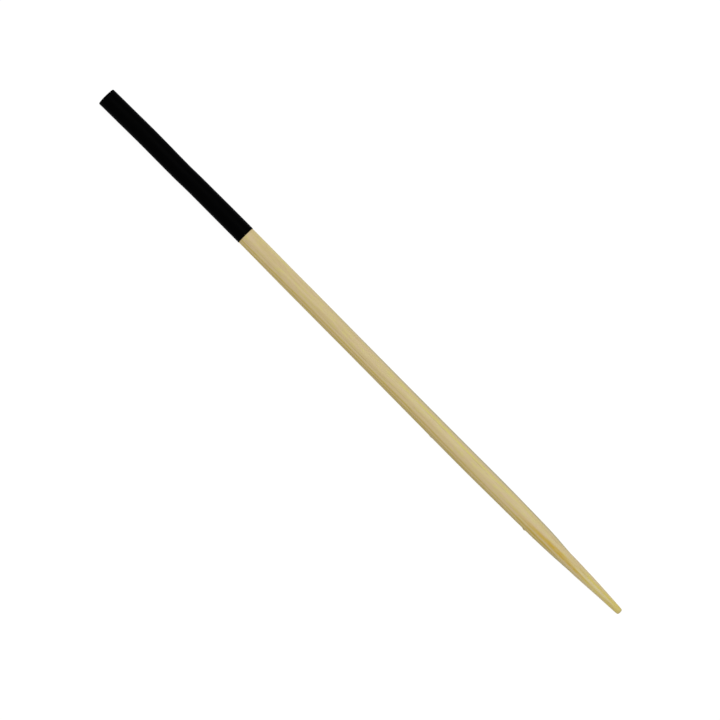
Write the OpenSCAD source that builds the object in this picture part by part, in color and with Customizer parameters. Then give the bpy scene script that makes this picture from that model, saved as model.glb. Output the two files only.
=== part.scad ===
/* [Stick] */
// Length from the black end to the tip
stick_len = 230; // [180:1:270]
// Diameter of the straight bamboo body
body_d = 6.2; // [5:0.1:8]
// Radius that breaks the edge of the sawn end under the lacquer
end_round = 0.25; // [0.1:0.05:0.6]

/* [Shoulder and point] */
// Length of the shoulder, the curve that leads from the straight body into the point
shoulder_len = 25; // [10:1:40]
// Diameter where the shoulder ends and the point starts
point_d = 4.6; // [3:0.1:5]
// Length of the slender point
point_len = 25; // [15:1:40]
// How far the side of the point bulges past a straight cone
point_crown = 0.07; // [0.02:0.01:0.2]
// Diameter of the blunt tip
tip_d = 2; // [1.4:0.1:2.8]
// Radius that rounds the edge of the tip
tip_round = 0.4; // [0.1:0.05:0.6]

/* [Black end] */
// Length of the stick that the black lacquer covers, measured over its closed end
black_len = 62.3; // [20:0.1:100]
// Thickness of the lacquer on the side and over the end
lacquer_t = 0.1; // [0.05:0.05:0.5]

/* [Hidden] */

BAMBOO = [0.78, 0.72, 0.53];
BLACK = [0.05, 0.05, 0.05];

// Steps in which each long curve and each rounded edge is drawn
CURVE_STEPS = 12;
EDGE_STEPS = 4;
ROUND_FN = 96;

body_r = body_d / 2;
black_r = body_r + lacquer_t;
bamboo_len = stick_len - lacquer_t;
shoulder_end = bamboo_len - point_len;
shoulder_start = shoulder_end - shoulder_len;

// The shoulder is an arc that starts in line with the body and drops to the point's diameter.
shoulder_drop = body_r - point_d / 2;
shoulder_r = (pow(shoulder_len, 2) + pow(shoulder_drop, 2)) / (2 * shoulder_drop);

// Every outline is drawn as [radius, height] along the stick, from the black end to the tip.

// A quarter round at a square edge: it starts on the end face at height z and ends on the side
function end_edge(r, z, edge) = [
    for (i = [0 : EDGE_STEPS])
        let (a = 90 * i / EDGE_STEPS)
            [r - edge + edge * sin(a), z + edge - edge * cos(a)]
];

// The mirror of that edge at the other end, from the side to the end face at height z
function tip_edge(r, z, edge) = [
    for (i = [0 : EDGE_STEPS])
        let (a = 90 * i / EDGE_STEPS)
            [r - edge + edge * cos(a), z - edge + edge * sin(a)]
];

function shoulder_curve() = [
    for (i = [0 : CURVE_STEPS])
        let (h = shoulder_len * i / CURVE_STEPS)
            [body_r - shoulder_r + sqrt(pow(shoulder_r, 2) - pow(h, 2)), shoulder_start + h]
];

// The point's side: a straight cone with a shallow crown that is highest halfway along
function point_curve() = [
    for (i = [1 : CURVE_STEPS - 1])
        let (
            s = i / CURVE_STEPS,
            cone = (point_d * (1 - s) + tip_d * s) / 2,
            crown = 4 * point_crown * s * (1 - s)
        )
            [cone + crown, shoulder_end + s * point_len]
];

// Lays a solid that stands on its black end along +X, centred, resting on Z = 0
module lay_down() {
    translate([-stick_len / 2, 0, black_r])
        rotate([0, 90, 0])
            children();
}

// The whole stick, turned from one splint of bamboo
module bamboo_stick() {
    color(BAMBOO)
        lay_down()
            translate([0, 0, lacquer_t])
                rotate_extrude($fn = ROUND_FN)
                    polygon(concat(
                        [[0, 0]],
                        end_edge(body_r, 0, end_round),
                        shoulder_curve(),
                        point_curve(),
                        tip_edge(tip_d / 2, bamboo_len, tip_round),
                        [[0, bamboo_len]]
                    ));
}

// The lacquer: a thin cup over the thick end that stops at one sharp, square line
module black_lacquer_end() {
    color(BLACK)
        lay_down()
            rotate_extrude($fn = ROUND_FN)
                polygon(concat(
                    [[0, 0]],
                    end_edge(black_r, 0, end_round + lacquer_t),
                    [[black_r, black_len], [body_r, black_len]],
                    [for (p = [EDGE_STEPS : -1 : 0]) end_edge(body_r, lacquer_t, end_round)[p]],
                    [[0, lacquer_t]]
                ));
}

bamboo_stick();
black_lacquer_end();
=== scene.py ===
"""A round bamboo chopstick with a black lacquered end, turned and finished around its CAD frame."""

import math

import bpy
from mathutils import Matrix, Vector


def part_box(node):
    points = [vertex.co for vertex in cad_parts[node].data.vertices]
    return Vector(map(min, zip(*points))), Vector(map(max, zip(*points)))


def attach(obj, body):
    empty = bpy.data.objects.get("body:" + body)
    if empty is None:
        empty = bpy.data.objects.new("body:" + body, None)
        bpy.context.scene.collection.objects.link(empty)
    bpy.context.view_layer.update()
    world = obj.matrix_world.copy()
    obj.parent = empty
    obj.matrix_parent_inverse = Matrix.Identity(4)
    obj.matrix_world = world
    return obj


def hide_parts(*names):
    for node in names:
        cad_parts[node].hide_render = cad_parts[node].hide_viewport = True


bl_info = {
    "name": "Lacquered Bamboo Chopstick",
    "version": (1, 0, 0),
    "blender": (4, 5, 0),
    "location": "3D View > Sidebar > Chopstick",
    "description": "Turns a bamboo stick, dips its thick end in lacquer and lays it on a pale table",
    "category": "Object",
}

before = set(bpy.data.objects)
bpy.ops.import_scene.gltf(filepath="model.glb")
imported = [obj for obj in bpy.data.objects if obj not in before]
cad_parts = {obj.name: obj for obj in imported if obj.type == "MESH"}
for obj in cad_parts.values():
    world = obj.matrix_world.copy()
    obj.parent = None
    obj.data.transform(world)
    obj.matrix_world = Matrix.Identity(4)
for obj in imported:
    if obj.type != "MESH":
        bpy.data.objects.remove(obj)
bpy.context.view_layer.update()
BAMBOO_LOW, BAMBOO_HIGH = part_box("bamboo_stick")
LACQUER_LOW, LACQUER_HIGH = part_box("black_lacquer_end")

MM = 0.001
AXIS_Z = (BAMBOO_LOW[2] + BAMBOO_HIGH[2]) / 2
LACQUER_THICKNESS = LACQUER_HIGH[1] - BAMBOO_HIGH[1]

# How often each turned mesh is divided to make it smooth, and the least corner, in degrees, that is softened
# along the lacquer's rim.
SMOOTH_LEVELS = 2
RIM_CORNER = 60

# The camera's sensor in mm, the nearest thing that it sees in metres, and the sides of the round table.
SENSOR_WIDTH = 36
NEAREST_SEEN = 0.01
TABLE_SIDES = 128

# The stick is split, planed and turned by hand, so it is never quite straight or quite even. Each pair is a
# place along the stick and how far, in mm, the stick's centre drifts sideways or its radius grows there.
DRIFT = (
    (-115, -0.26), (-110, -0.18), (-96, -0.02), (-81, -0.1), (-75, 0.06), (-58, 0.11), (-30, 0.0),
    (47, -0.15), (62, -0.05), (83, -0.04), (89, -0.12), (95, 0.0), (106, 0.11),
)
SWELL = (
    (-94, 0.02), (-76, -0.05), (-60, 0.0), (-20, 0.03), (8, -0.01), (50, 0.09), (71, -0.03),
    (84, 0.06), (91, -0.01), (98, 0.04),
)

# How a rounded edge and the end face inside it are divided: degrees round the edge, then shares of the face.
EDGE_TURNS = (0, 22.5, 45, 67.5, 90)
FACE_SHARES = (0.75, 0.4, 0.05)

# Torn fibres that the sanding left standing, in mm: place along the stick, length, height, and the turn in
# degrees from the top towards -Y. Each rises in steps that taper, and every step leans further towards the
# tip than the last, by a share of the length.
BURRS = (
    (74.9, 0.9, 0.2, 88),
    (78.9, 0.6, 0.09, 96),
    (67.0, 0.6, 0.08, 84),
    (33.3, 1.2, 0.1, 92),
)
BURR_WIDTH = 0.26
BURR_LEAN = 1 / 3
BURR_TAPERS = (0.8, 0.35)

# The marks of each pattern, as length along the stick and width across it, in mm: first those carved into the
# mesh, then those in the wood, then those in the lacquer.
FLAT = (45, 3)
GROOVE = (16, 0.4)
WANDER = (40, 6)
CLOUDY = (18, 3)
MOTTLE = (3.0, 0.8)
STREAK = (14, 0.7)
BUNDLE = (300, 0.55)
BUNDLE_BREAK = (9, 0.8)
FINE_FIBRE = (120, 0.24)
FINE_BREAK = (3.5, 0.4)
PORE = (9, 0.12)
LACQUER_CLOUD = (12, 2)
LACQUER_RIPPLE = (1.2, 0.5)

# The share of the flats' and of the grooves' depth that goes into the surface.
FLAT_SINK = 0.5
GROOVE_SINK = 0.7

# How far the grain wanders to either side, in mm.
WANDER_REACH = 0.6

# How soft patterns tint the wood: the two levels of the pattern between which the tint comes in, and the most
# that it covers. A pattern that tints from high to low has its higher level first.
ROSE_CLOUDS = (0.4, 0.62, 0.5)
STRAW_MOTTLE = (0.5, 0.66, 0.5)
ROSE_MOTTLE = (0.5, 0.36, 0.8)
HONEY_STREAKS = (0.45, 0.68, 0.4)

# The dense wood under the cane's skin: where it starts and where it is full, in mm across, and its tint.
DENSE_START = -1.3
DENSE_FULL = -1.75
DENSE_TINT = 0.2

# Fibre lines: how much of a cell a line fills, the levels between which a line breaks off, and how strongly
# the bundles and the fine fibres tint soft and dense wood.
BUNDLE_FILL = 0.34
FINE_FILL = 0.4
LINE_BREAK = (0.42, 0.6)
BUNDLE_TINT = 0.36
FINE_TINT_SOFT = 0.22
FINE_TINT_DENSE = 0.34

# Relief finer than the mesh: its depth in mm and its strength, then the share of that depth by which the
# fibre lines lie lower than the pores.
WOOD_RELIEF = (0.03, 0.5)
LACQUER_RELIEF = (0.02, 0.3)
BUNDLE_FURROW = 0.5
FINE_FURROW = 0.3

# How far the roughness of each finish falls and rises over the surface, and the levels of the pattern between
# which it does so.
WOOD_SHEEN = (-0.06, 0.08)
WOOD_SHEEN_LEVELS = (0.3, 0.7)
LACQUER_SHEEN = (-0.05, 0.08)
LACQUER_SHEEN_LEVELS = (0.35, 0.65)

# Veins inside the stick that reach its upper side, and patches of painted shade: the finish's colour, the
# strength, and the middle and the half size of the vein in mm, along the stick, across it and up from its
# axis. A later vein covers an earlier one. The shade entries, and the olive one at -3.1 mm across, are
# painted shade that darkens the stick's sides and the rim of its tip.
VEINS_AND_SHADE = (
    ("honey", 0.35, (-5, -0.5, 3.0), (130, 0.7, 1.6)),
    ("honey", 0.45, (-42, 1.3, 2.8), (15, 1.0, 1.8)),
    ("straw", 0.4, (-42, 2.6, 1.8), (16, 0.6, 1.6)),
    ("rose", 0.5, (-5, -1.15, 2.8), (130, 0.5, 1.6)),
    ("cream", 0.5, (45, 1.2, 2.8), (70, 1.1, 2.0)),
    ("straw", 1.0, (42, 1.74, 2.5), (46, 0.5, 1.2)),
    # painted shade: these four shade entries and the olive one after them darken the sides of the stick
    ("shade", 1.0, (50, 3.2, 1.0), (110, 1.0, 1.8)),
    ("shade", 0.9, (92, 2.6, 0.3), (30, 0.9, 2.4)),
    ("shade", 0.9, (50, -3.2, 0.5), (110, 0.85, 2.2)),
    ("shade", 0.8, (95, -2.5, 0.2), (28, 0.8, 2.4)),
    ("olive", 0.6, (50, -3.1, 0.8), (120, 0.9, 2.4)),
    ("olive", 0.65, (-5, -1.87, 2.3), (130, 0.36, 1.6)),
    ("rose", 0.3, (-5, -2.2, 2.0), (130, 0.3, 1.6)),
    ("olive", 0.8, (-5, -2.58, 1.4), (130, 0.26, 1.6)),
    ("olive", 0.85, (79, -1.9, 2.0), (15, 0.5, 1.6)),
    ("amber", 0.5, (79, -1.95, 2.0), (15, 0.35, 1.6)),
    ("rose", 0.7, (88, -1.3, 2.0), (24, 0.35, 1.4)),
    ("amber", 0.5, (78, -0.7, 2.4), (16, 0.9, 2.0)),
    ("amber", 1.0, (89, -0.4, 2.1), (21, 1.1, 2.2)),
    ("gold", 0.7, (117, 0.0, 0.6), (13, 3.0, 3.0)),
    ("gold", 0.95, (103.5, 0.75, 1.2), (19, 0.6, 1.3)),
    ("gold", 0.85, (107, -0.55, 1.2), (15, 0.6, 1.3)),
    ("cream", 1.0, (102, 0.05, 1.8), (17, 0.55, 1.4)),
    # painted shade on the rounded rim of the tip
    ("shade", 0.7, (115.6, 0.0, 0.0), (1.6, 4.0, 4.0)),
)
# How far in from its edge a vein is at full strength, and how the mottling thins it out.
VEIN_CORE = 0.7
VEIN_THIN = 0.6
VEIN_THIN_LEVELS = (0.36, 0.56)


# ---------------------------------------------------------------- sizes and finishes that can be changed


class StickSizes(bpy.types.PropertyGroup):
    body_diameter: bpy.props.FloatProperty(
        name="Body Diameter", description="Thickness of the straight body",
        default=BAMBOO_HIGH[1] - BAMBOO_LOW[1], unit="LENGTH", precision=5,
    )
    end_rounding: bpy.props.FloatProperty(
        name="End Rounding", description="Radius of the edge round the thick end",
        default=0.25 * MM, unit="LENGTH", precision=5,
    )
    end_crown: bpy.props.FloatProperty(
        name="End Crown", description="How far the middle of the thick end stands out",
        default=0.06 * MM, unit="LENGTH", precision=5,
    )
    shoulder_length: bpy.props.FloatProperty(
        name="Shoulder Length", description="Length of the curve between the body and the point",
        default=25 * MM, unit="LENGTH", precision=5,
    )
    point_diameter: bpy.props.FloatProperty(
        name="Point Diameter", description="Thickness where the point starts",
        default=4.6 * MM, unit="LENGTH", precision=5,
    )
    point_length: bpy.props.FloatProperty(
        name="Point Length", description="Length of the slender point",
        default=25 * MM, unit="LENGTH", precision=5,
    )
    point_crown: bpy.props.FloatProperty(
        name="Point Crown", description="How far the side of the point bulges past a straight cone",
        default=0.07 * MM, unit="LENGTH", precision=5,
    )
    tip_diameter: bpy.props.FloatProperty(
        name="Tip Diameter", description="Thickness of the blunt tip",
        default=2 * MM, unit="LENGTH", precision=5,
    )
    tip_rounding: bpy.props.FloatProperty(
        name="Tip Rounding", description="Radius of the edge round the tip",
        default=0.5 * MM, unit="LENGTH", precision=5,
    )
    tip_crown: bpy.props.FloatProperty(
        name="Tip Crown", description="How far the middle of the tip stands out",
        default=0.08 * MM, unit="LENGTH", precision=5,
    )
    sides: bpy.props.IntProperty(
        name="Sides", description="Sides of each ring, before it is made smooth",
        default=64, min=16, max=96,
    )
    ring_gap: bpy.props.FloatProperty(
        name="Ring Gap", description="Distance between the rings that the body is turned in",
        default=3 * MM, unit="LENGTH", precision=5,
    )
    hidden_gap: bpy.props.FloatProperty(
        name="Hidden Gap", description="Distance between the rings where lacquer covers the stick",
        default=12 * MM, unit="LENGTH", precision=5,
    )
    flat_depth: bpy.props.FloatProperty(
        name="Flat Depth", description="Depth of the long flats that turning and sanding leave",
        default=0.06 * MM, unit="LENGTH", precision=6,
    )
    groove_depth: bpy.props.FloatProperty(
        name="Groove Depth", description="Depth of the fine grooves between the fibres",
        default=0.035 * MM, unit="LENGTH", precision=6,
    )


class LacquerSizes(bpy.types.PropertyGroup):
    thickness: bpy.props.FloatProperty(
        name="Thickness", description="Thickness of the coat on the side and over the end",
        default=LACQUER_THICKNESS, unit="LENGTH", precision=6,
    )
    bead_height: bpy.props.FloatProperty(
        name="Bead Height", description="Height of the bead that dried along the edge of the coat",
        default=0.015 * MM, unit="LENGTH", precision=6,
    )
    bead_length: bpy.props.FloatProperty(
        name="Bead Length", description="Length over which the bead runs out",
        default=1.2 * MM, unit="LENGTH", precision=5,
    )
    rim_bevel: bpy.props.FloatProperty(
        name="Rim Bevel", description="Width that softens the corners where the coat stops",
        default=0.03 * MM, unit="LENGTH", precision=6,
    )
    show_through: bpy.props.FloatProperty(
        name="Show Through", description="Depth of the grain that still shows through the coat",
        default=0.015 * MM, unit="LENGTH", precision=6,
    )


class BambooFinish(bpy.types.PropertyGroup):
    pale: bpy.props.FloatVectorProperty(
        name="Pale", description="Colour of the soft wood between the fibres",
        default=(0.575, 0.465, 0.235), subtype="COLOR", min=0, max=1,
    )
    honey: bpy.props.FloatVectorProperty(
        name="Honey", description="Colour of the long streaks",
        default=(0.50, 0.385, 0.165), subtype="COLOR", min=0, max=1,
    )
    fibre: bpy.props.FloatVectorProperty(
        name="Fibre", description="Colour of the fine fibre lines and of the dots at the cut ends",
        default=(0.30, 0.20, 0.07), subtype="COLOR", min=0, max=1,
    )
    rose: bpy.props.FloatVectorProperty(
        name="Rose", description="Colour of the faint pink lights",
        default=(0.58, 0.45, 0.255), subtype="COLOR", min=0, max=1,
    )
    cream: bpy.props.FloatVectorProperty(
        name="Cream", description="Colour of the palest, least fibrous wood",
        default=(0.61, 0.525, 0.27), subtype="COLOR", min=0, max=1,
    )
    straw: bpy.props.FloatVectorProperty(
        name="Straw", description="Colour of the green-yellow vein",
        default=(0.595, 0.53, 0.16), subtype="COLOR", min=0, max=1,
    )
    gold: bpy.props.FloatVectorProperty(
        name="Gold", description="Colour of the yellow veins near the tip",
        default=(0.57, 0.475, 0.105), subtype="COLOR", min=0, max=1,
    )
    amber: bpy.props.FloatVectorProperty(
        name="Amber", description="Colour of the vein that the shoulder cuts open",
        default=(0.52, 0.355, 0.045), subtype="COLOR", min=0, max=1,
    )
    # olive is the dense wood's colour, and is also painted as shade along the -Y side of the stick.
    olive: bpy.props.FloatVectorProperty(
        name="Olive", description="Colour of the dense wood near the cane's skin",
        default=(0.455, 0.33, 0.055), subtype="COLOR", min=0, max=1,
    )
    # shade is painted shade: the colour that darkens the sides of the stick and the rim of its tip.
    shade: bpy.props.FloatVectorProperty(
        name="Shade", description="Colour of the greyed side",
        default=(0.38, 0.345, 0.21), subtype="COLOR", min=0, max=1,
    )
    roughness: bpy.props.FloatProperty(
        name="Roughness", description="Roughness of the sanded surface",
        default=0.52, min=0, max=1, subtype="FACTOR",
    )
    gloss: bpy.props.FloatProperty(
        name="Gloss", description="Strength of the reflections on the sanded surface",
        default=0.25, min=0, max=1, subtype="FACTOR",
    )


class LacquerFinish(bpy.types.PropertyGroup):
    black: bpy.props.FloatVectorProperty(
        name="Black", description="Colour of the lacquer",
        default=(0.0006, 0.0006, 0.0007), subtype="COLOR", min=0, max=1,
    )
    roughness: bpy.props.FloatProperty(
        name="Roughness", description="Roughness of the dried lacquer",
        default=0.4, min=0, max=1, subtype="FACTOR",
    )
    gloss: bpy.props.FloatProperty(
        name="Gloss", description="Strength of the reflections on the lacquer",
        default=0.008, min=0, max=1, subtype="FACTOR",
    )


class StageSettings(bpy.types.PropertyGroup):
    floor_radius: bpy.props.FloatProperty(
        name="Floor Radius", description="Radius of the pale table",
        default=3.0, unit="LENGTH",
    )
    floor_colour: bpy.props.FloatVectorProperty(
        name="Floor Colour", description="Colour that the lamps show on the table's surface",
        default=(0.12, 0.12, 0.12), subtype="COLOR", min=0, max=1,
    )
    floor_roughness: bpy.props.FloatProperty(
        name="Floor Roughness", description="Roughness of the table's matt surface",
        default=0.9, min=0, max=1, subtype="FACTOR",
    )
    floor_glow: bpy.props.FloatProperty(
        name="Floor Glow", description="White light that comes up through the table, as on a light table",
        default=0.93, min=0,
    )
    sky_overhead: bpy.props.FloatProperty(
        name="Sky Overhead", description="Strength of the light from straight above",
        default=0.8, min=0,
    )
    sky_low: bpy.props.FloatProperty(
        name="Sky Low", description="Strength of the light from low down, all round",
        default=0.5, min=0,
    )
    key_power: bpy.props.FloatProperty(
        name="Key Power", description="Power of the large soft lamp",
        default=5.0, min=0, unit="POWER",
    )
    key_size: bpy.props.FloatProperty(
        name="Key Size", description="Diameter of the large soft lamp",
        default=0.8, unit="LENGTH",
    )
    key_distance: bpy.props.FloatProperty(
        name="Key Distance", description="Distance of the large soft lamp from the stick",
        default=1.2, unit="LENGTH",
    )
    key_lean: bpy.props.FloatProperty(
        name="Key Lean", description="How far the lamp leans from overhead towards +Y",
        default=math.radians(25), subtype="ANGLE",
    )
    lens: bpy.props.FloatProperty(
        name="Lens", description="Focal length of the camera in millimetres",
        default=200.0, min=1,
    )
    view_width: bpy.props.FloatProperty(
        name="View Width", description="Width of what the camera sees at the stick",
        default=227.2 * MM, unit="LENGTH",
    )
    camera_turn: bpy.props.FloatProperty(
        name="Camera Turn", description="Turn of the camera, which looks straight down on the stick",
        default=math.radians(45.19), subtype="ANGLE",
    )
    camera_aim: bpy.props.FloatVectorProperty(
        name="Camera Aim", description="Point on the table that the camera looks down on",
        default=(0.58 * MM, -2.01 * MM), size=2, subtype="XYZ_LENGTH", precision=5,
    )


# ---------------------------------------------------------------- turning a stick


def along(pairs, place):
    """The amount, in metres, at a place along the stick, blended smoothly between the pairs beside it."""
    place = place / MM
    for (a, low), (b, high) in zip(pairs, pairs[1:]):
        if place <= b:
            part = min(max((place - a) / (b - a), 0.0), 1.0)
            return (low + (high - low) * part * part * (3 - 2 * part)) * MM
    return pairs[-1][1] * MM


def steps(start, stop, gap):
    """Evenly spaced places from start to stop, both included, no further apart than gap."""
    count = max(1, math.ceil(abs(stop - start) / gap))
    return [start + (stop - start) * i / count for i in range(count + 1)]


def stick_radius(sizes, place):
    """The radius of the bare stick at a place along it, without its rounded ends."""
    body, point, tip = sizes.body_diameter / 2, sizes.point_diameter / 2, sizes.tip_diameter / 2
    into_point = place - (BAMBOO_HIGH[0] - sizes.point_length)
    if into_point >= 0:
        share = into_point / sizes.point_length
        plain = point + (tip - point) * share + 4 * sizes.point_crown * share * (1 - share)
    else:
        into_shoulder = max(0.0, into_point + sizes.shoulder_length)
        plain = body - (body - point) * (into_shoulder / sizes.shoulder_length) ** 2
    return plain + along(SWELL, place)


def turned_end(end, radius, rounding, crown, forward):
    """Rings from the side of the stick, over its rounded edge and in across its slightly domed end.

    forward is 1 at the tip and -1 at the thick end.
    """
    edge, flat = end - forward * crown, radius - rounding
    rings = []
    for turned in EDGE_TURNS:
        angle = math.radians(turned)
        rings.append((edge - forward * rounding * (1 - math.sin(angle)), flat + rounding * math.cos(angle)))
    for share in FACE_SHARES:
        rings.append((end - forward * crown * share**2, flat * share))
    return rings


def deselect_all():
    """Leaves nothing selected, so that the next operator acts only on what is picked for it."""
    bpy.ops.object.select_all(action="DESELECT")


def turn(name, rings, sides, solid=True):
    """Turns a piece from (place, radius) rings: each ring is drawn out of the one before.

    A solid piece is closed at its first ring. Otherwise the first ring is the mouth of a cup.
    """
    deselect_all()
    place, radius = rings[0]
    bpy.ops.mesh.primitive_circle_add(
        vertices=sides, radius=radius, fill_type="NGON" if solid else "NOTHING", calc_uvs=False,
        location=(place, along(DRIFT, place), AXIS_Z), rotation=(0, math.radians(90), 0),
    )
    piece = bpy.context.object
    piece.name = name
    piece.data.name = name
    bpy.ops.object.transform_apply(location=True, rotation=True, scale=True)
    bpy.ops.object.mode_set(mode="EDIT")
    for new_place, new_radius in rings[1:]:
        centre = (new_place, along(DRIFT, new_place), AXIS_Z)
        sideways = centre[1] - along(DRIFT, place)
        bpy.ops.mesh.extrude_region_move(
            TRANSFORM_OT_translate={"value": (new_place - place, sideways, 0)}
        )
        ratio = new_radius / radius
        bpy.ops.transform.resize(value=(1, ratio, ratio), center_override=centre)
        place, radius = new_place, new_radius
    if not solid:
        bpy.ops.mesh.edge_face_add()
    bpy.ops.mesh.select_all(action="SELECT")
    bpy.ops.mesh.normals_make_consistent(inside=False)
    bpy.ops.object.mode_set(mode="OBJECT")
    return piece


def apply_modifier(piece, kind, **settings):
    """Adds a modifier with these settings and applies it to the mesh."""
    modifier = piece.modifiers.new(kind.title(), kind)
    for name, value in settings.items():
        setattr(modifier, name, value)
    bpy.ops.object.modifier_apply(modifier=modifier.name)


def make_smooth(piece, levels):
    """Divides and rounds the mesh, then shades it smooth."""
    apply_modifier(piece, "SUBSURF", levels=levels, render_levels=levels)
    bpy.ops.object.shade_smooth()


def carve(piece, pattern, mark, depth, sink):
    """Carves a pattern into the mesh, drawn out along the stick to marks of this (length, width) in mm.

    sink is the share of the depth that goes into the surface, and the rest stands proud.
    """
    length, width = (size * MM for size in mark)
    bpy.ops.object.empty_add(location=(0, 0, AXIS_Z))
    guide = bpy.context.object
    guide.scale = (length, width, width)
    deselect_all()
    bpy.context.view_layer.objects.active = piece
    piece.select_set(True)
    apply_modifier(
        piece, "DISPLACE", texture=pattern, texture_coords="OBJECT", texture_coords_object=guide,
        strength=depth, mid_level=sink,
    )
    bpy.data.objects.remove(guide)


def cloud_pattern(name, depth, contrast):
    """A solid pattern of soft clouds. A greater depth adds finer clouds."""
    pattern = bpy.data.textures.new(name, "CLOUDS")
    pattern.noise_scale = 1.0
    pattern.noise_depth = depth
    pattern.contrast = contrast
    return pattern


def carve_flats(piece, depth):
    """The long, shallow flats of hand turning."""
    carve(piece, cloud_pattern("flats", depth=1, contrast=1.0), FLAT, depth, FLAT_SINK)


def carve_grooves(piece, depth):
    """The fine grooves that sanding leaves between the fibres."""
    carve(piece, cloud_pattern("grooves", depth=2, contrast=1.4), GROOVE, depth, GROOVE_SINK)


def select_faces(piece, wanted):
    """Goes into edit mode with only the faces selected for which wanted(face) is true."""
    deselect_all()
    bpy.context.view_layer.objects.active = piece
    piece.select_set(True)
    bpy.ops.object.mode_set(mode="EDIT")
    bpy.ops.mesh.select_mode(type="FACE")
    bpy.ops.mesh.select_all(action="DESELECT")
    bpy.ops.object.mode_set(mode="OBJECT")
    for face in piece.data.polygons:
        face.select = wanted(face)
    bpy.ops.object.mode_set(mode="EDIT")


def raise_burr(stick, sizes, place, length, height, turned):
    """Draws a torn fibre out of the surface, leaning towards the tip. turned is its angle from the top."""
    side = (-math.sin(turned), math.cos(turned))
    radius = stick_radius(sizes, place)
    root = (place, along(DRIFT, place) + radius * side[0], AXIS_Z + radius * side[1])

    def torn(face):
        x, y, z = face.center
        return abs(x - place) < length / 2 and math.hypot(y - root[1], z - root[2]) < BURR_WIDTH * MM / 2

    select_faces(stick, torn)
    peak = root
    rise = height / len(BURR_TAPERS)
    for lean, taper in enumerate(BURR_TAPERS):
        lift = (lean * length * BURR_LEAN, rise * side[0], rise * side[1])
        bpy.ops.mesh.extrude_region_move(TRANSFORM_OT_translate={"value": lift})
        peak = [start + move for start, move in zip(peak, lift)]
        bpy.ops.transform.resize(value=(taper, taper, taper), center_override=peak)
    bpy.ops.mesh.select_mode(type="VERT")
    bpy.ops.object.mode_set(mode="OBJECT")


# ---------------------------------------------------------------- building materials


def add(tree, kind, values=None, **settings):
    """Adds a node with these settings, and gives its sockets values or links."""
    node = tree.nodes.new(kind)
    for name, value in settings.items():
        setattr(node, name, value)
    for socket, value in (values or {}).items():
        if isinstance(value, bpy.types.NodeSocket):
            tree.links.new(value, node.inputs[socket])
        else:
            node.inputs[socket].default_value = value
    return node


def new_material(name):
    """A material with one principled surface. Returns it, its node tree and the surface node."""
    material = bpy.data.materials.new(name)
    material.use_nodes = True
    tree = material.node_tree
    tree.nodes.clear()
    surface = add(tree, "ShaderNodeBsdfPrincipled")
    output = add(tree, "ShaderNodeOutputMaterial")
    tree.links.new(surface.outputs["BSDF"], output.inputs["Surface"])
    return material, tree, surface


def colour(value):
    """A colour property as the four numbers that a colour socket takes."""
    return (*value, 1.0)


def mix(tree, factor, first, second):
    """Mixes two colours. Each may be a colour or a socket."""
    node = tree.nodes.new("ShaderNodeMix")
    node.data_type = "RGBA"
    for socket, value in ((0, factor), (6, first), (7, second)):
        if isinstance(value, bpy.types.NodeSocket):
            tree.links.new(value, node.inputs[socket])
        else:
            node.inputs[socket].default_value = value
    return node.outputs[2]


def calculate(tree, operation, first, second):
    """One sum with two numbers. Each may be a number or a socket."""
    node = add(tree, "ShaderNodeMath", {0: first, 1: second}, operation=operation)
    return node.outputs[0]


def remap(tree, value, low, high, to_low=0.0, to_high=1.0):
    """Maps low..high to another range, with soft ends."""
    node = add(
        tree, "ShaderNodeMapRange",
        {"Value": value, "From Min": low, "From Max": high, "To Min": to_low, "To Max": to_high},
        interpolation_type="SMOOTHSTEP",
    )
    return node.outputs["Result"]


def drawn_out(tree, vector, mark):
    """Coordinates in which a mark of this (length, width), in mm, is one unit long and one unit wide."""
    length, width = (size * MM for size in mark)
    node = add(tree, "ShaderNodeMapping", {
        "Vector": vector, "Scale": (1 / length, 1 / width, 1 / width),
    })
    return node.outputs["Vector"]


def noise(tree, vector, mark, detail=2.0, roughness=0.5):
    """Soft noise made of such marks."""
    node = add(tree, "ShaderNodeTexNoise", {
        "Vector": drawn_out(tree, vector, mark), "Scale": 1.0, "Detail": detail, "Roughness": roughness,
    })
    return node.outputs["Fac"]


def tint(tree, tone, pattern, levels, hue):
    """Mixes a colour into the tone where a pattern passes between two levels, up to the most it covers."""
    start, full, most = levels
    return mix(tree, remap(tree, pattern, start, full, 0.0, most), tone, colour(hue))


def broken_lines(tree, vector, line, gap, fill):
    """Long lines in the grain that come and go: dots where the stick is cut across."""
    cells = add(tree, "ShaderNodeTexVoronoi", {
        "Vector": drawn_out(tree, vector, line), "Scale": 1.0, "Randomness": 1.0,
    })
    lines = remap(tree, cells.outputs["Distance"], fill, fill / 4)
    return calculate(tree, "MULTIPLY", lines, remap(tree, noise(tree, vector, gap), *LINE_BREAK))


def vein(tree, vector, centre, reach):
    """1 in the middle of a long, flat vein inside the stick, or of a patch of painted shade, fading to 0 at
    its edge. Sizes are in mm.
    """
    scale = tuple(1 / (size * MM) for size in reach)
    location = tuple(-middle / size for middle, size in zip(centre, reach))
    node = add(tree, "ShaderNodeMapping", {"Vector": vector, "Location": location, "Scale": scale})
    ball = add(tree, "ShaderNodeTexGradient", {"Vector": node.outputs["Vector"]}, gradient_type="SPHERICAL")
    return ball.outputs["Fac"]


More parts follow.
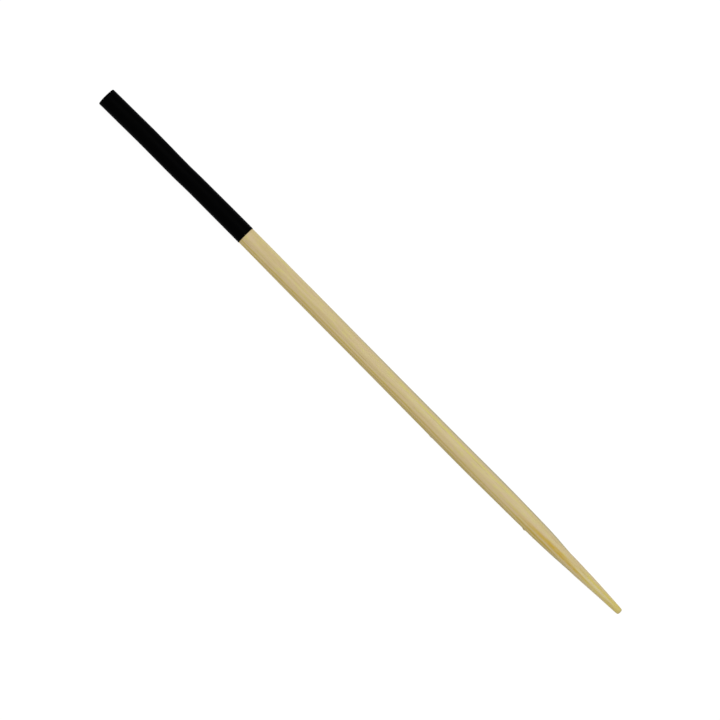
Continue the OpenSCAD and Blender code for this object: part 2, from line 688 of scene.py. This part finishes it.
def wandering_grain(tree, vector):
    """Coordinates that wander a little from side to side along the stick, as grain does."""
    wander = add(tree, "ShaderNodeTexNoise", {
        "Vector": drawn_out(tree, vector, WANDER), "Scale": 1.0, "Detail": 1.0,
    })
    either_way = add(tree, "ShaderNodeVectorMath", {
        0: wander.outputs["Color"], 1: (0.5, 0.5, 0.5),
    }, operation="SUBTRACT")
    reach = WANDER_REACH * MM
    grain = add(tree, "ShaderNodeVectorMath", {
        0: either_way.outputs["Vector"], 1: (0, reach, reach), 2: vector,
    }, operation="MULTIPLY_ADD")
    return grain.outputs["Vector"]


def varied_sheen(tree, surface, pattern, levels, roughness, sheen):
    """Lets the roughness fall and rise a little with a pattern."""
    fall, rise = sheen
    varied = remap(tree, pattern, *levels, roughness + fall, roughness + rise)
    tree.links.new(varied, surface.inputs["Roughness"])


def fine_relief(tree, surface, height, relief):
    """Relief that is too fine for the mesh, as (depth in mm, strength)."""
    depth, strength = relief
    bump = add(tree, "ShaderNodeBump", {"Height": height, "Strength": strength, "Distance": depth * MM})
    tree.links.new(bump.outputs["Normal"], surface.inputs["Normal"])


def veins_and_painted_shade(tree, tone, grain, mottle, look):
    """The tone with every vein of the stick and the painted shade on its sides and tip mixed in, thinner in
    the rose parts of the mottling.
    """
    unbroken = remap(tree, mottle, *VEIN_THIN_LEVELS, VEIN_THIN, 1.0)
    for name, strength, centre, reach in VEINS_AND_SHADE:
        mask = remap(tree, vein(tree, grain, centre, reach), 0.0, VEIN_CORE, 0.0, strength)
        mask = calculate(tree, "MULTIPLY", mask, unbroken)
        tone = mix(tree, mask, tone, colour(getattr(look, name)))
    return tone


def bamboo_material(look):
    """Solid bamboo, whose fibres and veins run lengthways: they show as lines and, cut across, as dots."""
    material, tree, surface = new_material("bamboo")
    place = add(tree, "ShaderNodeTexCoord").outputs["Object"]
    centred = add(tree, "ShaderNodeVectorMath", {0: place, 1: (0, 0, AXIS_Z)}, operation="SUBTRACT")
    centred = centred.outputs["Vector"]
    grain = wandering_grain(tree, centred)

    # broad, soft changes of tone, small mottling and long streaks
    mottle = noise(tree, grain, MOTTLE, detail=3.0)
    streaks = noise(tree, grain, STREAK, detail=3.0, roughness=0.6)
    tone = tint(tree, colour(look.pale), noise(tree, centred, CLOUDY), ROSE_CLOUDS, look.rose)
    tone = tint(tree, tone, mottle, STRAW_MOTTLE, look.straw)
    tone = tint(tree, tone, mottle, ROSE_MOTTLE, look.rose)
    tone = tint(tree, tone, streaks, HONEY_STREAKS, look.honey)

    # the dense wood under the cane's skin, on the -Y side, and the veins, with painted shade along the sides
    # and at the tip
    across = add(tree, "ShaderNodeSeparateXYZ", {0: grain}).outputs["Y"]
    dense = remap(tree, across, DENSE_START * MM, DENSE_FULL * MM)
    tone = mix(tree, calculate(tree, "MULTIPLY", dense, DENSE_TINT), tone, colour(look.olive))
    tone = veins_and_painted_shade(tree, tone, grain, mottle, look)

    # fibre bundles, and between them finer fibres that show more in the dense wood
    bundles = broken_lines(tree, grain, BUNDLE, BUNDLE_BREAK, BUNDLE_FILL)
    tone = mix(tree, calculate(tree, "MULTIPLY", bundles, BUNDLE_TINT), tone, colour(look.fibre))
    fine = broken_lines(tree, grain, FINE_FIBRE, FINE_BREAK, FINE_FILL)
    fine_tint = remap(tree, dense, 0.0, 1.0, FINE_TINT_SOFT, FINE_TINT_DENSE)
    tone = mix(tree, calculate(tree, "MULTIPLY", fine, fine_tint), tone, colour(look.fibre))
    tree.links.new(tone, surface.inputs["Base Color"])

    # satin, a little rougher where the streaks are
    varied_sheen(tree, surface, streaks, WOOD_SHEEN_LEVELS, look.roughness, WOOD_SHEEN)
    surface.inputs["Specular IOR Level"].default_value = look.gloss

    # pores and furrows finer than the carved grooves
    height = noise(tree, grain, PORE, detail=3.0)
    for lines, furrow in ((bundles, BUNDLE_FURROW), (fine, FINE_FURROW)):
        height = calculate(tree, "SUBTRACT", height, calculate(tree, "MULTIPLY", lines, furrow))
    fine_relief(tree, surface, height, WOOD_RELIEF)
    return material


def lacquer_material(look):
    """Deep black lacquer with a low sheen, over a trace of the grain beneath it."""
    material, tree, surface = new_material("black_lacquer")
    place = add(tree, "ShaderNodeTexCoord").outputs["Object"]
    surface.inputs["Base Color"].default_value = colour(look.black)
    cloudy = noise(tree, place, LACQUER_CLOUD)
    varied_sheen(tree, surface, cloudy, LACQUER_SHEEN_LEVELS, look.roughness, LACQUER_SHEEN)
    surface.inputs["Specular IOR Level"].default_value = look.gloss
    fine_relief(tree, surface, noise(tree, place, LACQUER_RIPPLE), LACQUER_RELIEF)
    return material


def floor_material(settings):
    """A pale table that glows white, so that hardly any shadow stays on it."""
    material, tree, surface = new_material("pale_table")
    surface.inputs["Base Color"].default_value = colour(settings.floor_colour)
    surface.inputs["Roughness"].default_value = settings.floor_roughness
    surface.inputs["Specular IOR Level"].default_value = 0.0
    surface.inputs["Emission Color"].default_value = (1, 1, 1, 1)
    surface.inputs["Emission Strength"].default_value = settings.floor_glow
    return material


def soft_room(settings):
    """White light from all round, stronger from above than from low down."""
    world = bpy.data.worlds.new("soft_room")
    world.use_nodes = True
    tree = world.node_tree
    direction = add(tree, "ShaderNodeTexCoord").outputs["Generated"]
    height = add(tree, "ShaderNodeSeparateXYZ", {0: direction}).outputs["Z"]
    background = tree.nodes["Background"]
    background.inputs["Color"].default_value = (1, 1, 1, 1)
    strength = remap(tree, height, 0.0, 1.0, settings.sky_low, settings.sky_overhead)
    tree.links.new(strength, background.inputs["Strength"])
    return world


# ---------------------------------------------------------------- the pieces


class CHOPSTICK_OT_turn_bamboo(bpy.types.Operator):
    """Turn the bamboo stick: a straight body, a soft shoulder and a slender point with a blunt tip"""

    bl_idname = "chopstick.turn_bamboo"
    bl_label = "Turn Bamboo Stick"
    bl_options = {"REGISTER", "UNDO"}

    def execute(self, context):
        sizes = context.scene.stick_sizes
        low, high, line = BAMBOO_LOW[0], BAMBOO_HIGH[0], LACQUER_HIGH[0]
        shoulder = high - sizes.point_length - sizes.shoulder_length
        thick_end = turned_end(low, stick_radius(sizes, low), sizes.end_rounding, sizes.end_crown, -1)
        tip = turned_end(high, stick_radius(sizes, high), sizes.tip_rounding, sizes.tip_crown, 1)
        side = steps(low + 2 * sizes.end_rounding, line - sizes.ring_gap, sizes.hidden_gap)
        side += steps(line - sizes.ring_gap, shoulder, sizes.ring_gap)[1:]
        side += steps(shoulder, high - 2 * sizes.tip_rounding, sizes.ring_gap / 2)[1:]

        rings = thick_end[::-1] + [(place, stick_radius(sizes, place)) for place in side] + tip
        stick = turn("turned_bamboo_stick", rings, sizes.sides)
        make_smooth(stick, SMOOTH_LEVELS)
        carve_flats(stick, sizes.flat_depth)
        carve_grooves(stick, sizes.groove_depth)
        for place, length, height, turned in BURRS:
            raise_burr(stick, sizes, place * MM, length * MM, height * MM, math.radians(turned))

        stick.data.materials.append(bamboo_material(context.scene.bamboo_finish))
        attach(stick, "root")
        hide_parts("bamboo_stick")
        return {"FINISHED"}


class CHOPSTICK_OT_dip_lacquer(bpy.types.Operator):
    """Dip the thick end in black lacquer, up to one square line"""

    bl_idname = "chopstick.dip_lacquer"
    bl_label = "Dip Lacquered End"
    bl_options = {"REGISTER", "UNDO"}

    def execute(self, context):
        sizes, coat = context.scene.stick_sizes, context.scene.lacquer_sizes
        end, line = LACQUER_LOW[0], LACQUER_HIGH[0]
        rounding = sizes.end_rounding + coat.thickness

        def outer(place):
            bead = coat.bead_height * max(0.0, 1 - (line - place) / coat.bead_length) ** 2
            return stick_radius(sizes, place) + coat.thickness + bead

        side = steps(line, line - coat.bead_length, coat.bead_length / 4)
        side += steps(line - coat.bead_length, end + 2 * rounding, sizes.ring_gap)[1:]
        rings = [(place, outer(place)) for place in side]
        rings += turned_end(end, outer(end), rounding, sizes.end_crown, -1)
        skin = turn("black_lacquer_skin", rings, sizes.sides, solid=False)
        make_smooth(skin, SMOOTH_LEVELS)
        carve_flats(skin, sizes.flat_depth)
        carve_grooves(skin, coat.show_through)
        apply_modifier(skin, "SOLIDIFY", thickness=coat.thickness, offset=-1, use_even_offset=True)
        apply_modifier(
            skin, "BEVEL", width=coat.rim_bevel, segments=2,
            limit_method="ANGLE", angle_limit=math.radians(RIM_CORNER),
        )

        skin.data.materials.append(lacquer_material(context.scene.lacquer_finish))
        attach(skin, "root")
        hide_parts("black_lacquer_end")
        return {"FINISHED"}


class CHOPSTICK_OT_set_stage(bpy.types.Operator):
    """Lay a pale table under the stick, light it softly and look straight down on it"""

    bl_idname = "chopstick.set_stage"
    bl_label = "Set Stage"
    bl_options = {"REGISTER", "UNDO"}

    def execute(self, context):
        scene, settings = context.scene, context.scene.stage_settings
        deselect_all()
        bpy.ops.mesh.primitive_circle_add(
            vertices=TABLE_SIDES, radius=settings.floor_radius, fill_type="NGON", location=(0, 0, 0),
        )
        table = context.object
        table.name = "pale_table"
        table.data.materials.append(floor_material(settings))

        scene.world = soft_room(settings)

        lean = settings.key_lean
        bpy.ops.object.light_add(
            type="AREA", rotation=(-lean, 0, 0),
            location=(0, settings.key_distance * math.sin(lean), settings.key_distance * math.cos(lean)),
        )
        key = context.object
        key.name = "key_lamp"
        key.data.shape = "DISK"
        key.data.size = settings.key_size
        key.data.energy = settings.key_power
        key.visible_camera = False

        height = settings.view_width * settings.lens / SENSOR_WIDTH
        bpy.ops.object.camera_add(
            location=(*settings.camera_aim, AXIS_Z + height), rotation=(0, 0, settings.camera_turn),
        )
        camera = context.object
        camera.name = "camera"
        camera.data.lens = settings.lens
        camera.data.sensor_width = SENSOR_WIDTH
        camera.data.clip_start = NEAREST_SEEN
        scene.camera = camera
        scene.view_settings.view_transform = "Standard"
        return {"FINISHED"}


# ---------------------------------------------------------------- the add-on


class CHOPSTICK_PT_panel(bpy.types.Panel):
    """Makes the chopstick, piece by piece"""

    bl_label = "Lacquered Bamboo Chopstick"
    bl_idname = "CHOPSTICK_PT_panel"
    bl_space_type = "VIEW_3D"
    bl_region_type = "UI"
    bl_category = "Chopstick"

    def draw(self, context):
        for group in GROUPS:
            box = self.layout.box()
            for name in group.__annotations__:
                box.prop(getattr(context.scene, GROUPS[group]), name)
        for operator in OPERATORS:
            self.layout.operator(operator.bl_idname)


GROUPS = {
    StickSizes: "stick_sizes",
    LacquerSizes: "lacquer_sizes",
    BambooFinish: "bamboo_finish",
    LacquerFinish: "lacquer_finish",
    StageSettings: "stage_settings",
}
OPERATORS = (CHOPSTICK_OT_turn_bamboo, CHOPSTICK_OT_dip_lacquer, CHOPSTICK_OT_set_stage)


def register():
    for cls in (*GROUPS, *OPERATORS, CHOPSTICK_PT_panel):
        bpy.utils.register_class(cls)
    for group, name in GROUPS.items():
        setattr(bpy.types.Scene, name, bpy.props.PointerProperty(type=group))


def unregister():
    for name in GROUPS.values():
        delattr(bpy.types.Scene, name)
    for cls in (CHOPSTICK_PT_panel, *OPERATORS, *GROUPS):
        bpy.utils.unregister_class(cls)


def main():
    """Makes every piece and the stage."""
    register()
    bpy.ops.chopstick.turn_bamboo()
    bpy.ops.chopstick.dip_lacquer()
    bpy.ops.chopstick.set_stage()


if __name__ == "__main__":
    main()
